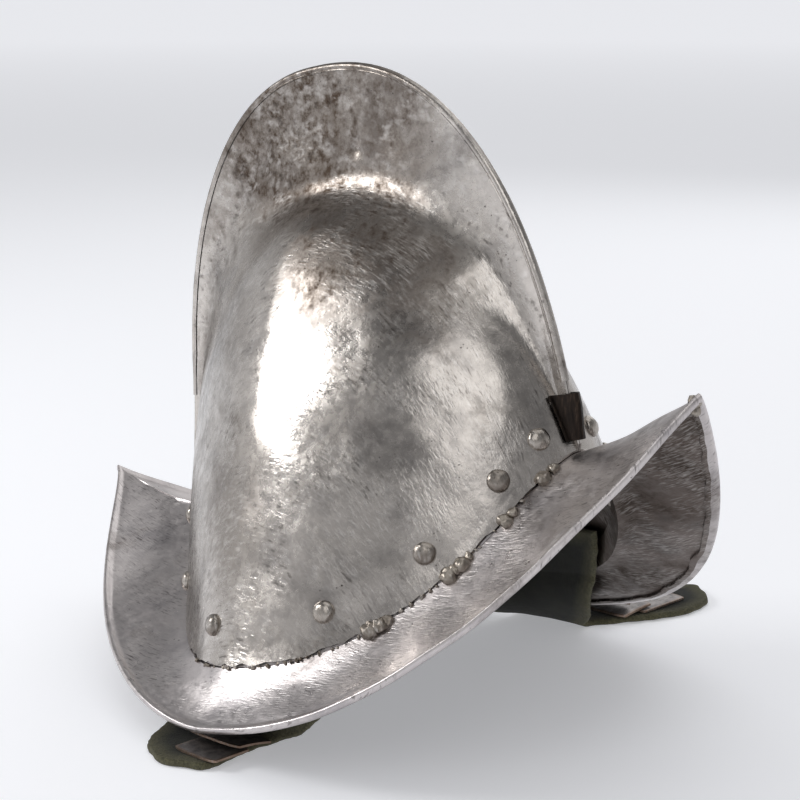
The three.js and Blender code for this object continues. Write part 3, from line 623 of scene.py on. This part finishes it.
def brim_rings(look):
    """Rings of points round the brim, from the collar's top over the underside, rim and top face,
    and the number of rings below the hem."""
    columns = look.brim_columns
    shares = even_parameters(seam_point, -1, 1, columns)
    seam = whole_ring(seam_point(shares))
    low, high = np.clip(shares - 0.01, -1, 1), np.clip(shares + 0.01, -1, 1)
    slope = (seam_height(high) - seam_height(low)) / (seam_point(high) - seam_point(low))[:, 1]
    drop_left = SEAM_GAP * np.hypot(1, slope)
    drops = np.concatenate([drop_left, drop_left[1:-1][::-1]])
    edge = whole_ring(brim_edge(even_parameters(brim_edge, -1, 1, columns)))
    raised = whole_ring(skull_point(shares, seam_height(shares) + COLLAR_HEIGHT))
    out_gap = SKULL_WALL + COLLAR_GAP
    in_gap = out_gap + BRIM_SHEET

    def foot(gap, below):
        ring = inset_ring(seam, gap)
        share = np.clip(ring[:, 1] / skull_half_length(seam[:, 2]), -1, 1)
        ring[:, 2] = seam_height(share) - drops - below
        return ring

    along = unit(np.roll(edge, -1, 0) - np.roll(edge, 1, 0))
    top = seam.copy()
    top[:, 2] -= drops
    out = edge - top
    span = norm(out, axis=1)
    out /= span[:, None]
    up = unit(np.cross(out, along))
    up *= np.sign(up[:, 2:3])
    chance = np.random.default_rng(11)
    ragged = np.convolve(chance.uniform(-1, 1, len(seam)), np.ones(4) / 2.4, "same")
    hem = (HEM_WIDTH + 0.9 * ragged) / span
    wobble = 0.35 * waves(edge, 26.0, 5)

    def surface(share, below, beyond=0.0):
        share = np.broadcast_to(share, span.shape)
        point = top + out * (span * share + beyond)[:, None]
        sag = -BRIM_SAG * share * (1 - share) - below
        dent = waves(point, 20.0, 12) * look.dents * 0.9 * smooth_step(0.1, 0.5, share)
        dent = dent * (1 - 0.75 * smooth_step(0.8, 1.0, share)) + wobble * share
        return point + up * (sag + dent - 0.5 * share)[:, None]

    rings = [inset_ring(raised, out_gap), inset_ring(raised, in_gap)]
    rings.append(foot(in_gap, 1.3 * BRIM_SHEET))
    rings += [surface(share * (1 - hem), BRIM_SHEET) for share in np.linspace(0.16, 0.97, 9)]
    under = len(rings)
    # The hem is the edge of the sheet turned back against the underside, and then the rolled rim
    rings += [surface(1 - hem, BRIM_SHEET + 0.15), surface(1 - hem, 2.35 + 0.25 * ragged),
              surface(1 - 0.93 * hem, 2.75), surface(1 - 0.5 * hem, 2.8)]
    for angle in np.radians(np.linspace(-90, 100, 9)):
        rings.append(surface(1.0, 0.85 - 1.75 * math.sin(angle), 1.3 * math.cos(angle) - 0.4))
    rings += [surface(1 - back / span, below)
              for back, below in ((2.1, -0.55), (3.1, 0.12), (4.2, 0.16), (5.4, 0.0))]
    rings += [surface(share * (1 - 5.6 / span), 0.0) for share in np.linspace(0.93, 0.1, 14)]
    rings += [top, foot(out_gap, 0.0)]
    return np.stack(rings), under


def strap_wall(y, height):
    """How far out the leather's middle lies where it hangs against the skull's inner wall."""
    z = height - PLACE[2]
    own_y = y * math.cos(PITCH) + z * math.sin(PITCH)
    own_z = np.maximum(z * math.cos(PITCH) - y * math.sin(PITCH), 0)

    def width_at(place):
        return skull_half_width(own_z) * plan_share(place / skull_half_length(own_z))

    slope = (width_at(own_y + 1) - width_at(own_y - 1)) / 2
    return width_at(own_y) - STRAP_INSET * np.hypot(1, slope)


def smooth_stations(stations, count):
    """The station table made finer along a smooth curve through its rows."""
    steps = np.linspace(0, len(stations) - 1, count)
    first = np.clip(steps.astype(int), 0, len(stations) - 2)
    t = (steps - first)[:, None]
    before, here = stations[np.maximum(first - 1, 0)], stations[first]
    there, after = stations[first + 1], stations[np.minimum(first + 2, len(stations) - 1)]
    bend = 2 * before - 5 * here + 4 * there - after
    twist = 3 * here - before - 3 * there + after
    return 0.5 * (2 * here + (there - before) * t + bend * t**2 + twist * t**3)


def strap_points(stations, reach, seed, look):
    """Middle surface of a cheekpiece's leather, from its top inside the skull to its tip."""
    rows, across = 120, 44
    anchor = strap_wall(0.0, STRAP_TOP_HEIGHT)
    fine = smooth_stations(stations, rows + 1)
    out, up, front, rear, follow = [fine[:, i : i + 1] for i in range(5)]
    up, follow = np.maximum(up, 0), np.clip(follow, 0, 1)
    share = np.linspace(0, 1, across + 1)[None, :]
    chance = np.random.default_rng(seed)
    frayed = np.convolve(chance.uniform(-1, 1, rows + 1), np.ones(3) / 2, "same")[:, None]
    y = STRAP_WIDTH * (front + (rear - front) * share)
    y += 0.7 * frayed * (2 * share - 1) ** 7
    height = np.maximum(up * STRAP_TOP_HEIGHT + STRAP_THICKNESS / 2 + follow * y * math.tan(PITCH),
                        STRAP_THICKNESS / 2)
    wall = np.where(follow > 0, strap_wall(y, height) - anchor, 0)
    x = anchor + out * reach + follow * wall
    # The tip is cut round, and the leather bulges and creases where it folds out
    tip = smooth_step(0.86, 1.0, np.linspace(0, 1, rows + 1))[:, None]
    middle = (y[:, :1] + y[:, -1:]) / 2
    y = middle + (y - middle) * (1 - 0.35 * tip**2)
    x -= tip * 3.0 * (2 * share - 1) ** 2
    level = smooth_step(0, 1, up * 2)
    lift = 0.35 * (1 + waves(np.stack([x, y, height], -1), 11.0, seed + 1)) * (1 - level)
    return np.stack([x, y, height + lift * look.leather_rumple], -1)


def thick_sheet(grid, thickness, roundness=0.35):
    """Closed points and faces of a bent sheet about its middle surface, with soft edges."""
    normal = unit(np.cross(np.gradient(grid, axis=0), np.gradient(grid, axis=1)))
    half = np.full(grid.shape[:2], thickness / 2)
    half[0], half[-1] = half[0] * roundness, half[-1] * roundness
    half[:, 0], half[:, -1] = half[:, 0] * roundness, half[:, -1] * roundness
    top, under = grid + normal * half[..., None], grid - normal * half[..., None]
    section = np.concatenate([top, under[:, ::-1]], 1)
    rows, columns = section.shape[:2]
    faces = loft_faces(rows, columns, False)
    for end in (0, rows - 1):
        base = end * columns
        for i in range(columns // 2 - 1):
            face = (base + i, base + i + 1, base + columns - 2 - i, base + columns - 1 - i)
            faces.append(face[::-1] if end == 0 else face)
    return section.reshape(-1, 3), faces


def mark_edges(piece, grid, width):
    """Stores how near each point lies to the sheet's edge, from 0 inside to 1 at the edge."""
    rim = np.concatenate([grid[0], grid[-1], grid[:, 0], grid[:, -1]])[::2]
    away = [norm(rim - np.array(v.co), axis=1).min() for v in piece.data.vertices]
    attribute = piece.data.attributes.new("edge", "FLOAT", "POINT")
    attribute.data.foreach_set("value", np.maximum(1 - np.array(away) / width, 0).astype("f"))


def lame_points(lame, reach, side):
    """Middle surface of a steel lame on the leather, in the scene's metres."""
    _, start, end, start_lift, end_lift, front, rear, arch = lame
    anchor = strap_wall(0.0, STRAP_TOP_HEIGHT)
    along = np.linspace(0, 1, 31)[:, None]
    across = np.linspace(0, 1, 33)[None, :]
    lift = start_lift + (end_lift - start_lift) * along + 4 * arch * along * (1 - along)
    height = STRAP_THICKNESS + LAME_GAP + LAME_SHEET * lift
    y = STRAP_WIDTH * (front + (rear - front) * across)
    bow = 1.6 * (2 * across - 1) ** 4
    x = anchor + reach * (start + (end - start) * along) - bow * (2 * along - 1)
    points = np.stack(np.broadcast_arrays(side * x, y, height), -1)
    return (points + PLACE * [1, 1, 0]) / 1000


class MorionLook(bpy.types.PropertyGroup):
    patina: FloatProperty(
        name="Patina", description="Share of the steel under brown patina", default=0.37,
        min=0, max=1, subtype="FACTOR")
    dents: FloatProperty(
        name="Dents", description="Depth of the unevenness and dents", default=1.0, min=0, max=2)
    leather_rumple: FloatProperty(
        name="Rumple", description="Unevenness of the leather where it lies on the floor",
        default=1.0, min=0, max=2)
    shell_columns: IntProperty(
        name="Shell columns", description="Divisions along each half of the skull",
        default=210, min=40, max=300)
    brim_columns: IntProperty(
        name="Brim columns", description="Divisions along each side of the brim",
        default=230, min=40, max=300)
    rivet_radius: FloatProperty(
        name="Rivet radius", description="Radius of a rivet's domed head", default=0.0046,
        min=0.001, max=0.01, unit="LENGTH", subtype="DISTANCE")
    rivet_height: FloatProperty(
        name="Rivet height", description="Height of a rivet's domed head", default=0.0028,
        min=0.0005, max=0.008, unit="LENGTH", subtype="DISTANCE")


class MorionStage(bpy.types.PropertyGroup):
    floor_colour: FloatVectorProperty(
        name="Floor", description="Colour of the floor", subtype="COLOR", size=3,
        default=(0.8, 0.808, 0.835), min=0, max=1)
    lens: FloatProperty(
        name="Lens", description="Focal length of the camera in millimetres", default=99.0, min=20)


class MORION_OT_skull(bpy.types.Operator):
    """Build both halves of the skull with the comb"""

    bl_idname = "morion.skull"
    bl_label = "Skull"

    def execute(self, context):
        look = context.scene.morion_look
        for name, side in (("left", 1), ("right", -1)):
            outer, inner = shell_grid(side, look)
            section = np.concatenate([outer, inner[:, ::-1]], 1)
            rows, columns = section.shape[:2]
            faces = loft_faces(rows, columns, False)
            split = outer.shape[1]
            # The inner faces take the darker russet steel, which is partly painted shade
            zones = [1 if split <= i % columns < columns - 1 else 0 for i in range(len(faces))]
            piece = make_piece(f"skull_plate_{name}", lay(section).reshape(-1, 3), faces,
                               [shell_steel(), dark_steel()], zones)
            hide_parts(f"skull_{name}")
        return {"FINISHED"}


class MORION_OT_brim(bpy.types.Operator):
    """Build the brim with its hem, rolled rim and collar"""

    bl_idname = "morion.brim"
    bl_label = "Brim"

    def execute(self, context):
        rings, under = brim_rings(context.scene.morion_look)
        ring_size = rings.shape[1]
        faces = loft_faces(rings.shape[0], ring_size, True)
        # The brim's underside up to the hem takes the darker russet steel, which is partly painted
        # shade
        zones = [1 if i // ring_size < under + 3 else 0 for i in range(len(faces))]
        piece = make_piece("brim_sheet", lay(rings).reshape(-1, 3), faces,
                           [brim_steel(), dark_steel()], zones)
        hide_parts("brim")
        return {"FINISHED"}


def bead_profile(high, wide):
    """Section of the rolled bead as (out, up) over the comb's edge, from lip to lip and inside."""
    deep = min(BEAD_DEPTH, 0.6 * high) * 0.55
    profile = [(1.6, -deep), (1.66, -deep + 0.1), (1.7, -0.8 * deep)]
    for turn in np.linspace(-38, 218, 17):
        angle = math.radians(turn)
        profile.append((1.95 * wide * math.cos(angle), -0.65 + 1.8 * math.sin(angle)))
    profile += [(-1.7, -0.8 * deep), (-1.66, -deep + 0.1), (-1.6, -deep)]
    return profile + [(-BEAD_HALF_GAP, 0.1 - deep), (-BEAD_HALF_GAP, 0.3), (BEAD_HALF_GAP, 0.3),
                      (BEAD_HALF_GAP, 0.1 - deep)]


class MORION_OT_bead(bpy.types.Operator):
    """Build the rolled bead over the comb's edge, and give the plume holder at its foot its
    blackened iron
    """

    bl_idname = "morion.bead"
    bl_label = "Comb bead and plume holder"

    def execute(self, context):
        angles = even_parameters(crest_point, math.pi + 0.2, -0.2, 520)
        points, rise = crest_point(angles), comb_rise(angles)
        holder_top = REAR_RISE + HOLDER_FOOT + HOLDER_LENGTH
        kept = (rise > 2.5) & ~((points[:, 1] > 0) & (points[:, 2] < holder_top + BEAD_DEPTH))
        kept &= angles < math.pi
        along = unit(np.gradient(points, axis=0))
        out = np.stack([0 * rise, along[:, 2], -along[:, 1]], -1)
        out *= np.sign(np.sum(out * (points - np.array([0, 0, HUB_HEIGHT])), 1))[:, None]
        chance = np.random.default_rng(3)
        swell = 1 + 0.06 * np.convolve(chance.uniform(-1, 1, len(rise)), np.ones(9) / 4, "same")
        section = np.array([
            [point + way * height + np.array([x, 0, 0]) for x, height in bead_profile(high, wide)]
            for point, way, high, wide in zip(points[kept], out[kept], rise[kept], swell[kept])])
        rows, columns = section.shape[:2]
        faces = loft_faces(rows, columns, False)
        faces += [tuple(range(columns))[::-1], tuple(range((rows - 1) * columns, rows * columns))]
        piece = make_piece("comb_roll", lay(section).reshape(-1, 3), faces, [shell_steel()])
        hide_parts("comb_bead")
        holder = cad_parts["plume_holder"]
        holder.data.materials.clear()
        holder.data.materials.append(blackened_material())
        return {"FINISHED"}


def dome_tree(name, material):
    """A Geometry Nodes tree that sets one uneven dome on each seat, along the seat's way."""
    tree = bpy.data.node_groups.new(name, "GeometryNodeTree")
    node = partial(add_node, tree)
    face = tree.interface
    face.new_socket("Geometry", in_out="INPUT", socket_type="NodeSocketGeometry")
    for title in ("Radius", "Height", "Unevenness", "Grain"):
        face.new_socket(title, in_out="INPUT", socket_type="NodeSocketFloat")
    face.new_socket("Seed", in_out="INPUT", socket_type="NodeSocketInt")
    face.new_socket("Geometry", in_out="OUTPUT", socket_type="NodeSocketGeometry")
    seats, radius, height, unevenness, grain, seed, *_ = node("NodeGroupInput").outputs
    ball = node("GeometryNodeMeshUVSphere", {"Segments": 24, "Rings": 14})
    size = node("CombineXYZ", {"X": radius, "Y": radius, "Z": height})
    dome = node("GeometryNodeTransform", {"Geometry": ball, "Scale": size})
    way, share = [
        node("GeometryNodeInputNamedAttribute", {"Name": title}, data_type=kind)
        for title, kind in (("way", "FLOAT_VECTOR"), ("size", "FLOAT"))]
    aligned = node("FunctionNodeAlignRotationToVector", {"Vector": way}, axis="Z")
    spin = node("FunctionNodeRandomValue", {
        "Max": (0.0, 0.0, 6.2), "Seed": seed}, data_type="FLOAT_VECTOR")
    turned = node("FunctionNodeRotateRotation", {
        "Rotation": aligned, "Rotate By": spin}, rotation_space="LOCAL")
    placed = node("GeometryNodeInstanceOnPoints", {
        "Points": seats, "Instance": dome, "Rotation": turned, "Scale": share})
    real = node("GeometryNodeRealizeInstances", {"Geometry": placed})
    beaten = node("TexNoise", {"Scale": grain})
    centred = node("VectorMath", (beaten.outputs["Color"], (0.5, 0.5, 0.5)), operation="SUBTRACT")
    offset = node("VectorMath", {0: centred, "Scale": unevenness}, operation="SCALE")
    uneven = node("GeometryNodeSetPosition", {"Geometry": real, "Offset": offset})
    finished = node("GeometryNodeSetMaterial", {"Geometry": uneven, "Material": material})
    node("NodeGroupOutput", {"Geometry": finished})
    return tree


def set_domes(name, seats, sizes, material):
    """Domes on seats of (place, way, size) in the helmet's frame, as one plain mesh piece."""
    places = np.array([place for place, _, _ in seats])
    ways = np.array([way / norm(way) for _, way, _ in seats])
    start = lay(places)
    points = bpy.data.meshes.new(name)
    points.from_pydata([tuple(p) for p in start], [], [])
    stored = points.attributes.new("way", "FLOAT_VECTOR", "POINT")
    stored.data.foreach_set("vector", ((lay(places + ways) - start) * 1000).ravel())
    stored = points.attributes.new("size", "FLOAT", "POINT")
    stored.data.foreach_set("value", np.array([size for _, _, size in seats], np.float32))
    holder = link_object(f"{name}_seats", points)
    tree = dome_tree(f"{name}_setting", material)
    modifier = holder.modifiers.new("setting", "NODES")
    modifier.node_group = tree
    for socket in tree.interface.items_tree:
        if socket.in_out == "INPUT" and socket.name in sizes:
            modifier[socket.identifier] = sizes[socket.name]
    bpy.context.view_layer.update()
    evaluated = holder.evaluated_get(bpy.context.evaluated_depsgraph_get())
    mesh = bpy.data.meshes.new_from_object(evaluated)
    bpy.data.objects.remove(holder)
    mesh.name = name
    mesh.shade_smooth()
    return finish_piece(name, mesh)


class MORION_OT_rivets(bpy.types.Operator):
    """Set the domed rivets above the seam with Geometry Nodes"""

    bl_idname = "morion.rivets"
    bl_label = "Rivets"

    def execute(self, context):
        look = context.scene.morion_look
        chance = np.random.default_rng(9)
        seats = []
        for side in (1, -1):
            mirror = np.array([side, 1, 1])
            for share in np.array(RIVET_SHARES):
                rise = LAST_RIVET_RISE if share == RIVET_SHARES[-1] else RIVET_RISE
                height = seam_height(share) + rise
                place = skull_point(share, height)
                along = skull_point(share + 0.004, height) - skull_point(share - 0.004, height)
                above = skull_point(share, height + 1) - skull_point(share, height - 1)
                way = np.cross(along, above) * mirror
                seats.append((place * mirror, way, chance.uniform(0.92, 1.06)))
        sizes = {"Radius": look.rivet_radius, "Height": look.rivet_height, "Unevenness": 0.0009,
                 "Grain": 260.0, "Seed": 4}
        piece = set_domes("rivets", seats, sizes, rivet_steel())
        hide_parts(*[f"rivet_{side}_{i}" for side in ("left", "right")
                             for i in range(1, 8)])
        return {"FINISHED"}


class MORION_OT_braze(bpy.types.Operator):
    """Set the drops and the rough bead of braze along the seam with Geometry Nodes"""

    bl_idname = "morion.braze"
    bl_label = "Braze on the seam"

    def execute(self, context):
        chance = np.random.default_rng(17)
        seats = []
        for side, drops, bead_start in ((1, LEFT_DROPS, -0.2), (-1, RIGHT_DROPS, -0.5)):
            mirror = np.array([side, 1, 1])
            spots = []
            for behind, radius, least, most, off in DROP_SIZES:
                spots += [(share + behind, radius * chance.uniform(least, most), off)
                          for share in drops]
            for share in np.arange(bead_start, 0.97, 0.0085):
                if chance.uniform() < 0.4:
                    shift = chance.uniform(-0.004, 0.004)
                    spots.append((share + shift, chance.uniform(0.3, 1.0), 0.3))
            for share, size, off in spots:
                share = min(share, 0.985)
                place = seam_point(np.array(share))
                step = seam_point(np.array(share - 0.01)) - place
                out = np.array([-step[1], step[0], 0]) * (1 if step[1] < 0 else -1)
                out /= norm(out)
                place = place + out * off * (1 + chance.uniform(-0.3, 0.3))
                place -= np.array([0, 0, 0.25])
                way = out * 0.7 + np.array([0, 0, 0.75])
                seats.append((place * mirror, way * mirror, size))
        # The knob at the brim's rear tip is two larger drops, one under the other
        tip = brim_edge(np.array(1.0)) - np.array([0, 2.6, 2.6])
        seats.append((tip, np.array([0.2, 0.5, 0.8]), 3.0))
        seats.append((tip - np.array([0, 0.6, 3.0]), np.array([0, 1.0, 0.2]), 2.6))
        sizes = {"Radius": 0.001, "Height": 0.0008, "Unevenness": 0.0028, "Grain": 380.0,
                 "Seed": 2}
        set_domes("seam_braze", seats, sizes, braze_steel())
        return {"FINISHED"}


class MORION_OT_cheekpieces(bpy.types.Operator):
    """Build the suede cheekpieces folded out onto the floor, and the steel lames on them"""

    bl_idname = "morion.cheekpieces"
    bl_label = "Cheekpieces and lames"

    def execute(self, context):
        look = context.scene.morion_look
        suede = suede_material("#16170f", "#5f5c43")
        plate = bronzed_material()
        for name, side, stations, reach, lames, lame_reach in STRAPS:
            grid = strap_points(stations, reach, 40 + side, look)
            grid[..., 0] *= side
            grid = (grid + PLACE * [1, 1, 0]) / 1000
            points, faces = thick_sheet(grid, STRAP_THICKNESS / 1000)
            points[:, 2] = np.maximum(points[:, 2], FLOOR_GAP)
            piece = make_piece(f"suede_cheekpiece_{name}", points, faces, [suede],
                               crease=80)
            mark_edges(piece, grid, 0.009)
            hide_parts(f"cheekpiece_{name}")
            down, over = np.diff(grid, axis=0), np.diff(grid, axis=1)
            along = norm(down, axis=-1).sum(0).max()
            across = norm(over, axis=-1).sum(1).max()
            area = float(norm(np.cross(down[:, :-1], over[:-1]), axis=-1).sum())
            for lame in lames:
                flat = lame_points(lame, lame_reach, side)
                points, faces = thick_sheet(flat, LAME_SHEET / 1000, 0.8)
                piece = make_piece(f"plate_{lame[0]}", points, faces, [plate])
                mark_edges(piece, flat, 0.0016)
                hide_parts(lame[0])
        return {"FINISHED"}


def aimed_object(name, data, place, target):
    """A lamp or camera at a place, turned to a target."""
    item = link_object(name, data)
    item.location = place
    item.rotation_euler = (Vector(target) - item.location).to_track_quat("-Z", "Y").to_euler()
    return item


def add_floor(colour):
    """A wide disc of matt background paper, which is stage and not part of the helmet."""
    mesh = bpy.data.meshes.new("studio_floor")
    turns = np.linspace(0, 2 * math.pi, 65)[:-1]
    ring = [(FLOOR_RADIUS * math.cos(a), FLOOR_RADIUS * math.sin(a), 0.0) for a in turns]
    mesh.from_pydata(ring, [], [tuple(range(64))])
    floor = link_object("studio_floor", mesh)
    material, node, place = new_material("matt_paper_floor")
    # The paper glows a little, and more with distance, so that it is pale from all sides
    away = node("VectorMath", {0: place}, operation="LENGTH")
    glow = node("MapRange", (away.outputs["Value"], 0.4, 6.0, 0.32, 0.6))
    set_surface(node, {
        "Base Color": (*colour, 1.0), "Roughness": 0.85, "Specular IOR Level": 0.2,
        "Emission Strength": glow, "Emission Color": (0.955, 0.965, 1.0, 1.0)})
    mesh.materials.append(material)


def set_sky(scene):
    """A soft room that the steel mirrors, bright at its foot and dim overhead."""
    world = bpy.data.worlds.new("studio")
    world.use_nodes = True
    scene.world = world
    world.node_tree.nodes.clear()
    node = partial(add_node, world.node_tree)
    way = node("TexCoord").outputs["Generated"]
    height = node("SeparateXYZ", {0: way}).outputs["Z"]
    sky = node("ValToRGB", {0: height}, [
        (rise, (level, level * 1.005, level * 1.03, 1)) for rise, level in SKY_LEVELS])
    glow = node("Background", {"Color": sky, "Strength": 0.85})
    node("OutputWorld", {"Surface": glow})


class MORION_OT_stage(bpy.types.Operator):
    """Set the pale floor, the soft light and the camera"""

    bl_idname = "morion.stage"
    bl_label = "Floor, light and camera"

    def execute(self, context):
        scene = context.scene
        stage = scene.morion_stage
        add_floor(stage.floor_colour)
        scene.view_settings.view_transform = "Standard"
        set_sky(scene)
        for name, place, size, power in LAMPS:
            light = bpy.data.lights.new(name, "AREA")
            light.shape = "DISK"
            light.size = size
            light.energy = power
            aimed_object(name, light, place, LAMP_TARGET)
        camera = bpy.data.cameras.new("camera")
        camera.lens = stage.lens
        camera.sensor_width = 36.0
        camera.clip_start = 0.01
        scene.camera = aimed_object("camera", camera, CAMERA_PLACE, CAMERA_TARGET)
        return {"FINISHED"}


class MORION_PT_panel(bpy.types.Panel):
    """Sizes, colours and steps of the helmet"""

    bl_label = "Morion"
    bl_idname = "MORION_PT_panel"
    bl_space_type = "VIEW_3D"
    bl_region_type = "UI"
    bl_category = "Morion"

    def draw(self, context):
        for group in (context.scene.morion_look, context.scene.morion_stage):
            for name in group.__annotations__:
                self.layout.prop(group, name)
        for operator in OPERATORS:
            self.layout.operator(operator.bl_idname)


OPERATORS = (MORION_OT_skull, MORION_OT_brim, MORION_OT_bead, MORION_OT_rivets, MORION_OT_braze,
             MORION_OT_cheekpieces, MORION_OT_stage)
CLASSES = (MorionLook, MorionStage, *OPERATORS, MORION_PT_panel)


def register():
    for cls in CLASSES:
        bpy.utils.register_class(cls)
    bpy.types.Scene.morion_look = PointerProperty(type=MorionLook)
    bpy.types.Scene.morion_stage = PointerProperty(type=MorionStage)


def unregister():
    del bpy.types.Scene.morion_look
    del bpy.types.Scene.morion_stage
    for cls in reversed(CLASSES):
        bpy.utils.unregister_class(cls)


def main():
    register()
    for operator in OPERATORS:
        getattr(bpy.ops.morion, operator.bl_idname.split(".")[1])()


if __name__ == "__main__":
    main()
